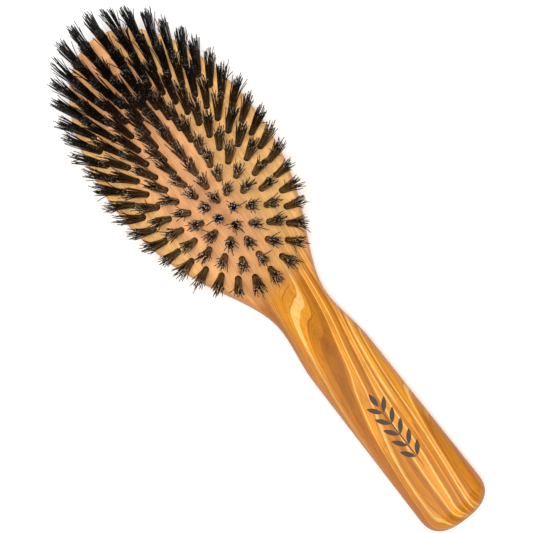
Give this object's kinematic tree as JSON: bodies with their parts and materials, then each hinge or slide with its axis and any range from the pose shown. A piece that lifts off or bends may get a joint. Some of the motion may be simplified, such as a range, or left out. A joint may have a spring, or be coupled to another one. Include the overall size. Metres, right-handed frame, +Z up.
{
  "type": "vanity hairbrush",
  "caption": "Wooden paddle hairbrush: oval head with nested rings of dark natural-bristle tufts, waisted neck and straight handle with rounded edges.",
  "frame": {"origin": "centre of the part's bounding box in plan, on the flat back", "axes": "+Z up out of the bristle face, +Y towards the tip of the head, +X to the right with the tip pointing away"},
  "size_m": [0.068, 0.2276, 0.0291],
  "materials": {
    "olive_wood": "oiled and fine-sanded olive wood with dark figure along the handle",
    "boar_bristle": "black boar bristle, slightly glossy, brown at the root",
    "anchor_metal": "plain drawn brass strip"
  },
  "bodies": {
    "root": {"brush_body": "olive_wood", "bristle_row_centre": "boar_bristle", "bristle_row_right_1": "boar_bristle", "bristle_row_right_2": "boar_bristle", "bristle_row_right_3": "boar_bristle", "bristle_row_right_4": "boar_bristle", "bristle_row_left_1": "boar_bristle", "bristle_row_left_2": "boar_bristle", "bristle_row_left_3": "boar_bristle", "bristle_row_left_4": "boar_bristle", "anchor_row_centre": "anchor_metal", "anchor_row_right_1": "anchor_metal", "anchor_row_right_2": "anchor_metal", "anchor_row_right_3": "anchor_metal", "anchor_row_right_4": "anchor_metal", "anchor_row_left_1": "anchor_metal", "anchor_row_left_2": "anchor_metal", "anchor_row_left_3": "anchor_metal", "anchor_row_left_4": "anchor_metal"}
  },
  "joints": []
}
